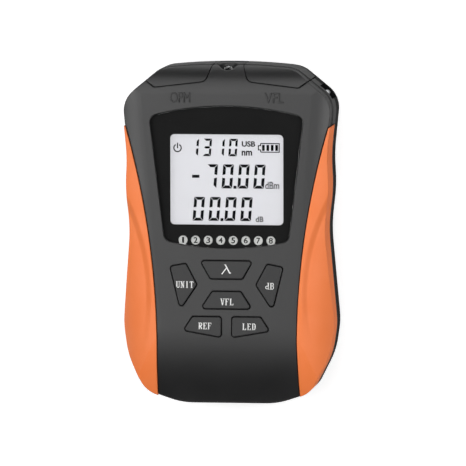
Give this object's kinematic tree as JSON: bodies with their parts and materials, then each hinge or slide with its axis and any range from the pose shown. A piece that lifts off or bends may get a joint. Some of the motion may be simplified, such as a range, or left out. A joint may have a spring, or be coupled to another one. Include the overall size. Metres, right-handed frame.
{
  "type": "optical power meter",
  "caption": "Hand-held optical power meter: waisted two-shell case with soft grips, window with display, six keys, two capped fibre ports, torch, network and charging sockets.",
  "frame": {"origin": "under the middle of the case, on its flat back", "axes": "+Z out of the display, +Y towards the fibre ports, +X to the right as the display is read"},
  "size_m": [0.074, 0.1193, 0.0309],
  "materials": {
    "front_plastic": "fine matte texture",
    "rear_plastic": "fine matte texture",
    "grip_rubber": "satin soft-touch",
    "clear_window": "polished",
    "mask_film": "printed film",
    "display_glass": "polarised",
    "light_guide": "diffusing",
    "contact_rubber": "matt",
    "white_plastic": "moulded",
    "milky_plastic": "translucent",
    "light_chip": "moulded",
    "mat_rubber": "matt",
    "board": "solder mask",
    "chip_package": "moulded",
    "black_plastic": "moulded",
    "gold_contact": "plated",
    "plated_steel": "plated",
    "foam": "foam",
    "cell_pouch": "foil",
    "nickel": "nickel plated",
    "diode_can": "plated",
    "ceramic": "zirconia",
    "brass": "turned",
    "clear_epoxy": "moulded",
    "screw_steel": "zinc plated",
    "cap_rubber": "matt",
    "key_plastic": "satin"
  },
  "bodies": {
    "case": {"rear_shell": "rear_plastic", "front_shell": "front_plastic", "left_grip": "grip_rubber", "right_grip": "grip_rubber", "display_lens": "clear_window", "lens_mask": "mask_film", "lcd_glass": "display_glass", "lcd_backlight": "light_guide", "lcd_contacts": "contact_rubber", "lcd_frame": "white_plastic", "light_pipes": "milky_plastic", "light_chips": "light_chip", "keypad_mat": "mat_rubber", "main_board": "board", "controller_chip": "chip_package", "buzzer": "black_plastic", "battery_connector": "white_plastic", "network_jack_housing": "black_plastic", "network_jack_contacts": "gold_contact", "charge_socket": "plated_steel", "charge_socket_tongue": "black_plastic", "battery_pad": "foam", "battery_cell": "cell_pouch", "power_adapter": "nickel", "detector_holder": "black_plastic", "photodiode": "diode_can", "fault_adapter": "nickel", "fault_sleeve": "ceramic", "laser_module": "brass", "torch_led": "clear_epoxy", "torch_bezel": "black_plastic", "case_screws": "screw_steel", "board_screws": "screw_steel", "lanyard_bar": "plated_steel"},
    "wavelength_key_body": {"wavelength_key": "key_plastic"},
    "unit_key_body": {"unit_key": "key_plastic"},
    "decibel_key_body": {"decibel_key": "key_plastic"},
    "fault_light_key_body": {"fault_light_key": "key_plastic"},
    "reference_key_body": {"reference_key": "key_plastic"},
    "torch_key_body": {"torch_key": "key_plastic"},
    "power_cap_body": {"power_cap": "cap_rubber"},
    "fault_cap_body": {"fault_cap": "cap_rubber"}
  },
  "joints": [
    {"name": "press_wavelength", "type": "slide", "parent": "case", "child": "wavelength_key_body", "axis": [0, 0, -1], "range_m": [0, 0.0008], "stiffness_N_per_m": 500, "deforming": ["keypad_mat"]},
    {"name": "press_unit", "type": "slide", "parent": "case", "child": "unit_key_body", "axis": [0, 0, -1], "range_m": [0, 0.0008], "stiffness_N_per_m": 500, "deforming": ["keypad_mat"]},
    {"name": "press_decibel", "type": "slide", "parent": "case", "child": "decibel_key_body", "axis": [0, 0, -1], "range_m": [0, 0.0008], "stiffness_N_per_m": 500, "deforming": ["keypad_mat"]},
    {"name": "press_fault_light", "type": "slide", "parent": "case", "child": "fault_light_key_body", "axis": [0, 0, -1], "range_m": [0, 0.0008], "stiffness_N_per_m": 500, "deforming": ["keypad_mat"]},
    {"name": "press_reference", "type": "slide", "parent": "case", "child": "reference_key_body", "axis": [0, 0, -1], "range_m": [0, 0.0008], "stiffness_N_per_m": 500, "deforming": ["keypad_mat"]},
    {"name": "press_torch", "type": "slide", "parent": "case", "child": "torch_key_body", "axis": [0, 0, -1], "range_m": [0, 0.0008], "stiffness_N_per_m": 500, "deforming": ["keypad_mat"]},
    {"name": "open_power_cap", "type": "hinge", "parent": "case", "child": "power_cap_body", "pos_m": [-0.0164, 0.05815, 0.0062], "axis": [-1, 0, 0], "range_deg": [0, 90]},
    {"name": "open_fault_cap", "type": "hinge", "parent": "case", "child": "fault_cap_body", "pos_m": [0.0164, 0.05815, 0.0062], "axis": [-1, 0, 0], "range_deg": [0, 90]}
  ]
}
